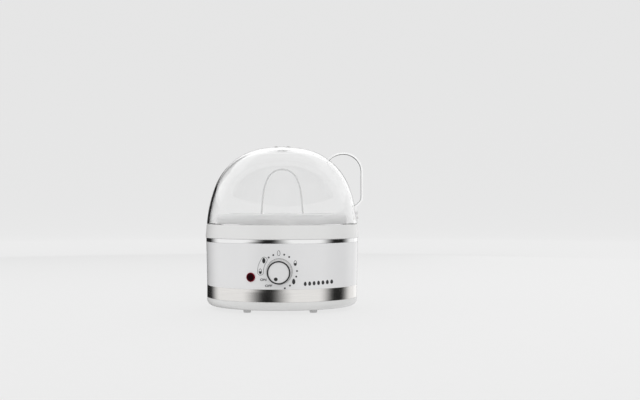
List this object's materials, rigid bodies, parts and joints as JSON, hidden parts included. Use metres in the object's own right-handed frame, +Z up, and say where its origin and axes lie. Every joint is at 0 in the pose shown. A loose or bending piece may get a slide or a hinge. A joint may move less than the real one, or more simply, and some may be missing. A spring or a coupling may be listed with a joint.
{
  "type": "egg cooker",
  "caption": "Round electric egg cooker: white housing with steel bands, rotary dial, lamp, heated water dish, lift-out egg rack and clear domed lid with ear handle.",
  "frame": {"origin": "centre of the bottom cover's flat underside, on the vertical axis of the housing; the rubber feet reach 3.7 mm lower, to the table", "axes": "+Z up along the housing's axis; the dial faces -Y; the lid's ear handle stands out at +X"},
  "size_m": [0.1742, 0.1878, 0.1786],
  "materials": {
    "foot_rubber": "matt grey",
    "base_plastic": "white, satin gloss",
    "panel_plastic": "white, high gloss",
    "band_steel": "brushed round the band",
    "trim_steel": "polished",
    "collar_plastic": "white, satin",
    "plate_metal": "non-stick coated, satin grey",
    "seal_rubber": "translucent silicone",
    "element_tube": "matt tube",
    "zinc_steel": "zinc plated",
    "screw_steel": "zinc plated",
    "brass": "bright",
    "black_plastic": "moulded black",
    "white_plastic": "moulded natural white",
    "bezel_plastic": "light grey",
    "red_lens": "dark red translucent",
    "lamp_glass": "clear, orange when lit",
    "gland_rubber": "light grey",
    "wire_brown": "insulation",
    "wire_blue": "insulation",
    "wire_green": "insulation",
    "knob_plastic": "white, satin face",
    "knob_chrome": "dark polished",
    "pointer_black": "black inlay",
    "rack_plastic": "white",
    "clear_handle": "clear, polished",
    "clear_lid": "clear, polished",
    "pin_grey": "grey"
  },
  "bodies": {
    "housing": {"foot_front_left": "foot_rubber", "foot_front_right": "foot_rubber", "foot_rear_left": "foot_rubber", "foot_rear_right": "foot_rubber", "bottom_cover": "base_plastic", "body_shell": "panel_plastic", "steel_band": "band_steel", "upper_trim_ring": "trim_steel", "collar": "collar_plastic", "heating_plate": "plate_metal", "plate_seal": "seal_rubber", "heating_element": "element_tube", "plate_bracket": "zinc_steel", "plate_stud": "zinc_steel", "stud_nut": "zinc_steel", "earth_tab": "brass", "bracket_screws": "screw_steel", "thermal_cutout": "black_plastic", "control_body": "black_plastic", "control_nut": "zinc_steel", "dial_bezel": "bezel_plastic", "indicator_lens": "red_lens", "lamp_clip": "zinc_steel", "neon_lamp": "lamp_glass", "lamp_socket": "black_plastic", "cord_gland": "gland_rubber", "cord_clamp": "white_plastic", "clamp_screws": "screw_steel", "cover_screws": "screw_steel", "terminal_block": "white_plastic", "terminal_screws": "brass", "signal_buzzer": "black_plastic", "live_wire": "wire_brown", "switched_wire": "wire_brown", "element_wire": "wire_brown", "neutral_wire": "wire_blue", "earth_wire": "wire_green"},
    "dial": {"control_shaft": "zinc_steel", "knob_body": "knob_plastic", "knob_ring": "knob_chrome", "knob_pointer": "pointer_black"},
    "rack": {"egg_rack": "rack_plastic", "rack_handle": "clear_handle"},
    "lid": {"lid_dome": "clear_lid", "lid_handle": "clear_handle", "handle_pins": "pin_grey"}
  },
  "joints": [
    {"name": "dial_turn", "type": "hinge", "parent": "housing", "child": "dial", "pos_m": [0, -0.0875, 0.0413], "axis": [0, 1, 0], "range_deg": [0, 318]},
    {"name": "rack_lift", "type": "slide", "parent": "housing", "child": "rack", "axis": [0, 0, 1], "range_m": [0, 0.016]},
    {"name": "lid_lift", "type": "slide", "parent": "housing", "child": "lid", "axis": [0, 0, 1], "range_m": [0, 0.12]}
  ]
}
